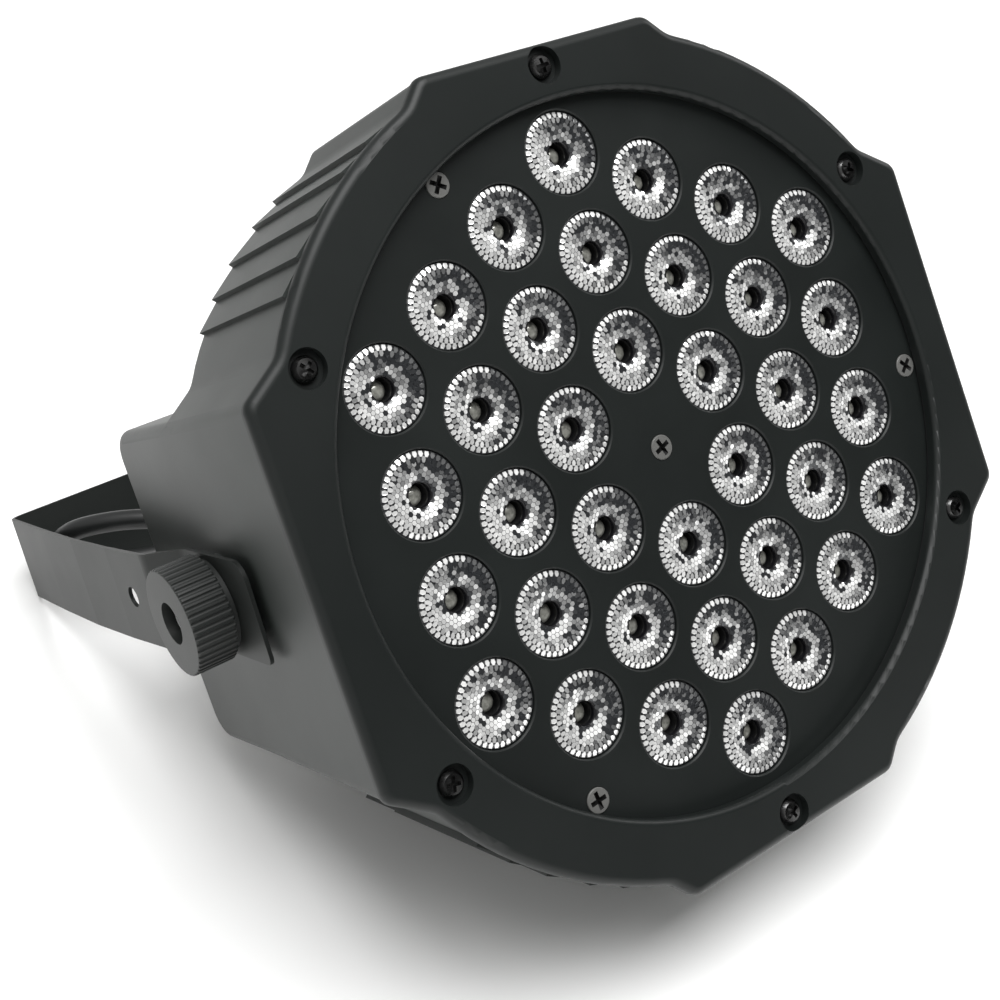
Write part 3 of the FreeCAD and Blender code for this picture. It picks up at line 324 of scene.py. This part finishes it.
def make_materials():
    return {
        "bezel": grained_plastic("bezel_abs", (0.0085, 0.0105, 0.010), 0.42, 3200.0, 0.00003, 0.30),
        "shell": grained_plastic("shell_abs", (0.0195, 0.0235, 0.0215), 0.46, 2400.0, 0.00004, 0.40),
        "plate": coated_metal("plate_coat", (0.010, 0.012, 0.0115), 0.42, 0.22),
        "panel": coated_metal("panel_coat", (0.014, 0.014, 0.015), 0.4),
        "strap": coated_metal("strap_coat", (0.0125, 0.0145, 0.0135), 0.48, 0.36),
        "screw_black": bare_metal("screw_oxide", (0.10, 0.10, 0.10), 0.28, (1.0, 1.0, 1.0)),
        "screw_grey": grained_plastic("screw_phosphate", (0.125, 0.125, 0.12), 0.34, 1500.0, 0.00002),
        # screw_pit: near-black painted shade for the screws' cross recesses.
        "screw_pit": grained_plastic("screw_recess_painted_shade", (0.004, 0.004, 0.004), 0.6, 1500.0, 0.00002, 0.2),
        "rubber": rubber("gasket_foam", (0.010, 0.010, 0.011), 0.75),
        "holder": grained_plastic("holder_black", (0.012, 0.012, 0.013), 0.5),
        "emitter": rubber("led_silicone", (0.85, 0.72, 0.25), 0.3),
        "board_white": rubber("board_white_mask", (0.75, 0.76, 0.74), 0.35),
        "aluminium": bare_metal("sink_aluminium", (0.72, 0.73, 0.74), 0.35),
        "steel": bare_metal("zinc_steel", (0.74, 0.74, 0.75), 0.34),
        "socket": grained_plastic("socket_nylon", (0.014, 0.014, 0.015), 0.38),
        "contact": bare_metal("contact_plating", (0.80, 0.74, 0.58), 0.22),
        "latch": grained_plastic("latch_plastic", (0.05, 0.05, 0.055), 0.25),
        "window": rubber("window_acrylic", (0.035, 0.004, 0.004), 0.08),
        "display": rubber("display_potting", (0.06, 0.06, 0.06), 0.3),
        "board_green": board("board_green_mask", (0.015, 0.10, 0.04)),
        "chip": grained_plastic("component_epoxy", (0.02, 0.02, 0.02), 0.45),
        "cord": rubber("cord_pvc", (0.009, 0.010, 0.010), 0.42),
        "tie": grained_plastic("tie_plastic", (0.018, 0.018, 0.019), 0.4),
        "plug": grained_plastic("plug_pvc", (0.016, 0.016, 0.017), 0.38),
        "pin": bare_metal("pin_nickel", (0.82, 0.81, 0.78), 0.18),
        "knob": grained_plastic("knob_nylon", (0.016, 0.018, 0.017), 0.5, 2000.0, 0.00005, 0.42),
        "button": rubber("button_rubber", (0.035, 0.035, 0.037), 0.55),
    }


materials = make_materials()
slots = {part["node"]: part["material_slot"] for part in frame["record"]["subparts"]}


def finish_nodes():
    """Gives every CAD node that stays its material."""
    for name, node in frame["nodes"].items():
        node.data.materials.clear()
        node.data.materials.append(materials.get(slots[name], materials["holder"]))


# ---------------------------------------------------------------- mains lead
CORD_D = 6.0
CORD_INSIDE = (-62.0, 8.0, -101.7)
RELIEF_TIP = (-62.0, 8.0, -131.0)
FREE_RUN = ((-65.5, 64.43, 37.8), (-72.5, 71.43, 36.6), (-80.5, 77.93, 36.0), (-88.5, 83.93, 34.0),
            (-94.5, 89.43, 30.5), (-97.3, 94.23, 25.0), (-96.8, 97.43, 18.5), (-92.5, 98.63, 12.5),
            (-85.5, 97.03, 8.2), (-76.5, 93.83, 6.3), (-66.0, 90.83, 6.0), (-50.0, 86.83, 7.4),
            (-32.0, 84.03, 8.8), (-13.0, 83.43, 9.0), (5.0, 83.33, 9.0))
COIL_CENTRE = (8.0, 47.43)
COIL_PLACES = ((36.8, 9.0), (30.7, 9.0), (30.7, 3.0), (36.8, 3.0), (42.6, 3.0))
COIL_CHANGE = 40
COIL_STEP = 24
PLUG_RUN = ((27.0, 85.6, 4.0), (32.0, 83.6, 5.4), (36.0, 83.43, 5.6))


def coil_place(turned):
    """Radius and height of the lead this many degrees round the coil, one place a turn."""
    radius, height = COIL_PLACES[0]
    for turn in range(1, len(COIL_PLACES)):
        share = (turned - (360 - COIL_CHANGE) * turn) / COIL_CHANGE
        share = min(1.0, max(0.0, share))
        radius += (COIL_PLACES[turn][0] - COIL_PLACES[turn - 1][0]) * share
        height += (COIL_PLACES[turn][1] - COIL_PLACES[turn - 1][1]) * share
    return radius, height


def build_cord():
    points = [head_point(*CORD_INSIDE), head_point(*RELIEF_TIP)]
    points += [Vector(p) * MM for p in FREE_RUN]
    for turned in range(COIL_STEP // 2, 1440 + COIL_STEP, COIL_STEP):
        radius, height = coil_place(turned)
        a = math.radians(turned)
        across, along = radius * math.sin(a), radius * math.cos(a)
        points.append(Vector((COIL_CENTRE[0] + across, COIL_CENTRE[1] + along, height)) * MM)
    points += [Vector(p) * MM for p in PLUG_RUN]
    curve = bpy.data.curves.new("mains_lead", "CURVE")
    curve.dimensions = "3D"
    curve.bevel_depth = CORD_D / 2 * MM
    curve.bevel_resolution = 5
    curve.resolution_u = 8
    curve.use_fill_caps = True
    spline = curve.splines.new("NURBS")
    spline.points.add(len(points) - 1)
    for point, place in zip(spline.points, points):
        point.co = (*place, 1.0)
    spline.order_u = 3
    spline.use_endpoint_u = True
    piece = bpy.data.objects.new("mains_lead", curve)
    bpy.context.scene.collection.objects.link(piece)
    curve.materials.append(materials["cord"])
    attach(piece, "head")
    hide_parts("power_cord", "power_cord_coil", "plug_lead")


# ---------------------------------------------------------------- lenses
LENS_PITCH = 24.5
GRID_ANGLE = math.radians(-30.0)
LENS_TOP = -0.55
WELL_R = 2.8
WELL_DEPTH = 4.2
CREST_R = 7.9
BOWL = 1.15
CELL = 1.14
PETALS = 38
PETAL_ROWS = ((7.0, 8.6), (8.25, 9.8))
BODY_R = 9.72
RIM_R = 9.93
RIM_BOTTOM = -5.0


def lens_height(radius):
    """Height of the lens face: a bowl round the well, then a fall to the rim."""
    if radius <= CREST_R:
        return LENS_TOP - BOWL * ((CREST_R - radius) / (CREST_R - WELL_R)) ** 2
    return LENS_TOP - 0.12 * (radius - CREST_R) ** 2


def add_facet(mesh, shade, outline, lift, inset, value, tilt=(0.0, 0.0)):
    """A raised facet: a flat top in its given tone inside a bevelled border with painted shade, much darker than
    the top.
    """
    cx = sum(x for x, y in outline) / len(outline)
    cy = sum(y for x, y in outline) / len(outline)
    base = [mesh.verts.new((x, y, lens_height(math.hypot(x, y)))) for x, y in outline]
    top = []
    for x, y in outline:
        tx = cx + (x - cx) * inset
        ty = cy + (y - cy) * inset
        height = lens_height(math.hypot(tx, ty)) + lift + tilt[0] * (tx - cx) + tilt[1] * (ty - cy)
        top.append(mesh.verts.new((tx, ty, height)))
    faces = [(mesh.faces.new(top), value)]
    count = len(outline)
    for k in range(count):
        n = (k + 1) % count
        # Painted shade: the bevelled border takes a much darker tone than the top.
        faces.append((mesh.faces.new((base[k], base[n], top[n], top[k])), value * 0.14))
    for face, tone in faces:
        for loop in face.loops:
            loop[shade] = (tone, tone, tone, 1.0)


def painted_light_tone(x, y, chance):
    """How light a facet is painted: painted light on one side of each cone, painted shade on the far side and in
    random dark cells, and a painted highlight below its well.
    """
    radius = math.hypot(x, y)
    side = -(x * 0.94 + y * 0.34) / radius
    # Painted light: cells on one side of the cone are lighter, those on the far side darker.
    tone = 0.44 + 0.36 * side + chance.gauss(0.0, 0.21)
    # Painted shade: outer cells away from the lit side are darkened.
    if radius > 5.4 and side < 0.45:
        tone -= 0.16
    # Painted highlight: a bright patch below the well.
    if radius < 5.4 and y < -0.45 * radius:
        tone += 0.5
    # Painted highlight: a bright crescent on the far side of the cone.
    if 3.8 < radius < 6.0 and side < -0.7:
        tone += 0.30
    # Painted shade: random near-black cells beside the well on the lit side.
    if radius < 5.6 and side > 0.6 and chance.random() < 0.36:
        tone = 0.02
    return min(1.0, max(0.02, tone))


def honeycomb(mesh, shade, chance):
    reach = int(CREST_R / CELL) + 2
    side = CELL / math.sqrt(3.0)
    for i in range(-reach, reach + 1):
        for j in range(-reach, reach + 1):
            x = CELL * (i + 0.5 * j)
            y = CELL * j * math.sqrt(3.0) / 2.0
            if not WELL_R + 0.45 < math.hypot(x, y) < PETAL_ROWS[0][0] + 0.3:
                continue
            outline = []
            for k in range(6):
                a = math.radians(60.0 * k + 30.0)
                outline.append((x + side * math.cos(a), y + side * math.sin(a)))
            tilt = (chance.gauss(0.0, 0.05), chance.gauss(0.0, 0.05))
            add_facet(mesh, shade, outline, 0.08, 0.90, painted_light_tone(x, y, chance), tilt)


def petals(mesh, shade, chance):
    """Two staggered rows of small domed facets round the edge, painted bright as reflections and painted dark on
    the shaded side.
    """
    for row, (inner, outer) in enumerate(PETAL_ROWS):
        for k in range(PETALS):
            middle = 2 * math.pi * (k + 0.5 * row) / PETALS
            half = math.pi / PETALS
            outline = []
            centre = (inner + outer) / 2
            for radius, share in ((inner, -0.45), (centre, -0.92), (outer, -0.6),
                                  (outer, 0.6), (centre, 0.92), (inner, 0.45)):
                a = middle + share * half
                outline.append((radius * math.cos(a), radius * math.sin(a)))
            # Painted reflection: petals are bright, the inner row toned like the honeycomb.
            tone = chance.uniform(0.7, 1.0)
            if row == 0:
                tone = painted_light_tone(centre * math.cos(middle), centre * math.sin(middle), chance)
            # Painted shade: outer-row petals on one side are darkened.
            elif math.cos(middle - 0.25) > 0.72:
                tone *= 0.16
            tilt = (chance.gauss(0.0, 0.03), chance.gauss(0.0, 0.03))
            add_facet(mesh, shade, outline, 0.16, 0.84, tone, tilt)


def ring_profile(mesh, profile, count, material_index):
    """Adds a smooth turned surface through (radius, height) points, outer side up."""
    rings = []
    for radius, height in profile:
        if radius == 0.0:
            rings.append([mesh.verts.new((0.0, 0.0, height))] * count)
            continue
        ring = []
        for k in range(count):
            a = 2 * math.pi * k / count
            ring.append(mesh.verts.new((radius * math.cos(a), radius * math.sin(a), height)))
        rings.append(ring)
    for inner, outer in zip(rings, rings[1:]):
        for k in range(count):
            n = (k + 1) % count
            unique = list(dict.fromkeys([inner[k], outer[k], outer[n], inner[n]]))
            face = mesh.faces.new(unique)
            face.smooth = True
            face.material_index = material_index


def lens_mesh(seed):
    """One lens: honeycomb and petal facets, clear rim, a well with walls painted near black as shade, and the disc
    at its bottom.
    """
    chance = random.Random(seed)
    mesh = bmesh.new()
    # Per-corner tone of painted light, painted highlights and painted shade on the facets.
    shade = mesh.loops.layers.float_color.new("painted_facet_light")
    honeycomb(mesh, shade, chance)
    petals(mesh, shade, chance)
    radii = (WELL_R, 3.4, 4.4, 5.6, 6.8, CREST_R, 8.6, BODY_R)
    under = [(radius, lens_height(radius) - 0.04) for radius in radii]
    ring_profile(mesh, under, 40, 1)
    edge = lens_height(BODY_R)
    ring_profile(mesh, [(BODY_R - 0.02, edge), (RIM_R, edge + 0.05), (RIM_R, RIM_BOTTOM)], 40, 1)
    bottom = LENS_TOP - BOWL - WELL_DEPTH
    ring_profile(mesh, [(WELL_R - 0.3, bottom), (WELL_R - 0.12, -4.0), (WELL_R, lens_height(WELL_R) + 0.05),
                        (WELL_R + 0.35, lens_height(WELL_R + 0.35) + 0.02)], 28, 2)
    disc = WELL_R - 0.3
    ring_profile(mesh, [(0.0, bottom + 1.5), (disc * 0.5, bottom + 1.35), (disc * 0.84, bottom + 0.8),
                        (disc, bottom)], 28, 3)
    return mesh


def ring_centres(ring):
    corners = []
    for k in range(7):
        a = GRID_ANGLE + k * math.pi / 3
        corners.append(Vector((math.cos(a), math.sin(a), 0.0)) * LENS_PITCH * ring)
    centres = []
    for start, end in zip(corners, corners[1:]):
        for step in range(ring):
            centres.append(start + (end - start) * (step / ring))
    return centres


def painted_light_facets():
    """Facets coloured by their painted light tones: painted silver reflections between painted dark seams,
    standing in for a clear lens over its reflector-like cone; the same colour glows faintly by emission, a painted
    glow.
    """
    shader = Shader("lens_facets_painted_light", (0.8, 0.8, 0.8), 0.12, 0.55)
    attribute = shader.nodes.new("ShaderNodeAttribute")
    # Reads the painted light tones baked into the facets.
    attribute.attribute_name = "painted_facet_light"
    color = shader.mix_color(attribute.outputs["Fac"], (0.02, 0.022, 0.025), (0.97, 0.97, 0.96))
    shader.links.new(color, shader.surface.inputs["Base Color"])
    # Painted light: the tone also feeds emission, so the facets glow though no lamp is in them.
    shader.links.new(color, shader.surface.inputs["Emission Color"])
    shader.bump(shader.noise(1400.0, 2.0), 0.10, 0.00004)
    shader.set(Coat_Weight=0.5, Coat_Roughness=0.03, Emission_Strength=0.24)
    return shader.material


def clear_rim():
    shader = Shader("lens_rim", (0.05, 0.052, 0.055), 0.12, 0.4)
    shader.tint(shader.noise(300.0), 0.3)
    shader.set(Coat_Weight=1.0, Coat_Roughness=0.02)
    return shader.material


def well_painted_shade():
    # Painted shade: the clear lens's well walls are coloured near black.
    shader = Shader("lens_well_painted_shade", (0.006, 0.006, 0.007), 0.16)
    shader.tint(shader.noise(500.0), 0.4)
    shader.set(Specular_IOR_Level=0.3)
    return shader.material


def led_disc():
    shader = Shader("led_window", (0.50, 0.50, 0.45), 0.18, 0.3)
    shader.tint(shader.noise(900.0), 0.35)
    shader.set(Coat_Weight=0.8, Coat_Roughness=0.05)
    return shader.material


def build_lenses():
    looks = [painted_light_facets(), clear_rim(), well_painted_shade(), led_disc()]
    for ring, node in ((1, "lenses_inner_ring"), (2, "lenses_middle_ring"), (3, "lenses_outer_ring")):
        copies = []
        for index, centre in enumerate(ring_centres(ring)):
            lens = lens_mesh(100 * ring + index)
            lens.transform(Matrix.Translation(centre))
            copies.append(lens)
        head_piece(node + "_look", copies, looks, node)


# ---------------------------------------------------------------- plate screws
PLATE_SCREW_R = 82.8
PLATE_SCREW_ANGLES = (115.0, 235.0, 355.0)
SCREW_HEAD_R = 3.0
CROSS_REACH = 2.15
CROSS_HALF = 0.55
CROSS_DEPTH = 1.1
SCREW_TOP = 0.30
EDGE_BEVEL = 0.18
SCREW_SIDES = 36
SHANK_PROFILE = ((SCREW_HEAD_R, SCREW_TOP - 0.15), (SCREW_HEAD_R, -0.15), (1.45, -1.55),
                 (1.45, -8.85), (0.0, -8.85))
SCREW_TURN = 20
SCREW_TURN_STEP = 37


def cross_outline(scale, height):
    reach, half = CROSS_REACH * scale, CROSS_HALF * scale
    corners = []
    for k in range(4):
        a = math.pi / 2 * k
        for u, v in ((reach, -half), (reach, half), (half, half)):
            corners.append((u * math.cos(a) - v * math.sin(a), u * math.sin(a) + v * math.cos(a), height))
    return corners


def screw_mesh():
    """A countersunk screw with a flat face, a bevelled edge and a deep tapering cross, whose walls and floor are
    painted near black as shade.
    """
    mesh = bmesh.new()
    face_r = SCREW_HEAD_R - EDGE_BEVEL
    rim = []
    for k in range(SCREW_SIDES):
        a = 2 * math.pi * k / SCREW_SIDES
        rim.append(mesh.verts.new((face_r * math.cos(a), face_r * math.sin(a), SCREW_TOP)))
    mouth = [mesh.verts.new(p) for p in cross_outline(1.0, SCREW_TOP)]
    edges = []
    for loop in (rim, mouth):
        for k in range(len(loop)):
            edges.append(mesh.edges.new((loop[k - 1], loop[k])))
    bmesh.ops.triangle_fill(mesh, use_beauty=True, edges=edges, normal=(0.0, 0.0, 1.0))
    bottom = [mesh.verts.new(p) for p in cross_outline(0.5, SCREW_TOP - CROSS_DEPTH)]
    # Painted shade: the cross recess walls and floor take material slot 1, near black.
    for k in range(len(mouth)):
        wall = mesh.faces.new((mouth[k - 1], bottom[k - 1], bottom[k], mouth[k]))
        wall.material_index = 1
    mesh.faces.new(bottom).material_index = 1
    ring_profile(mesh, [(face_r, SCREW_TOP), *SHANK_PROFILE], SCREW_SIDES, 0)
    return mesh


def build_plate_screws():
    places = [Vector((0.0, 0.0, 0.0))]
    for angle in PLATE_SCREW_ANGLES:
        a = math.radians(angle)
        places.append(Vector((math.cos(a), math.sin(a), 0.0)) * PLATE_SCREW_R)
    copies = []
    for index, place in enumerate(places):
        screw = screw_mesh()
        turn = Matrix.Rotation(math.radians(SCREW_TURN + SCREW_TURN_STEP * index), 4, "Z")
        screw.transform(Matrix.Translation(place) @ turn)
        copies.append(screw)
    # The second look is the painted shade of the cross recess.
    looks = [materials["screw_grey"], materials["screw_pit"]]
    head_piece("plate_screws_look", copies, looks, "plate_screws")


# ---------------------------------------------------------------- put together
add_camera()
add_world()
add_floor()
area_light("overhead", OVERHEAD_AT, OVERHEAD_AIM, OVERHEAD_SIZE, OVERHEAD_WATTS)
area_light("key", KEY_AT, KEY_AIM, KEY_SIZE, KEY_WATTS)
finish_nodes()
build_cord()
build_lenses()
build_plate_screws()
bpy.context.scene.view_settings.view_transform = "Standard"
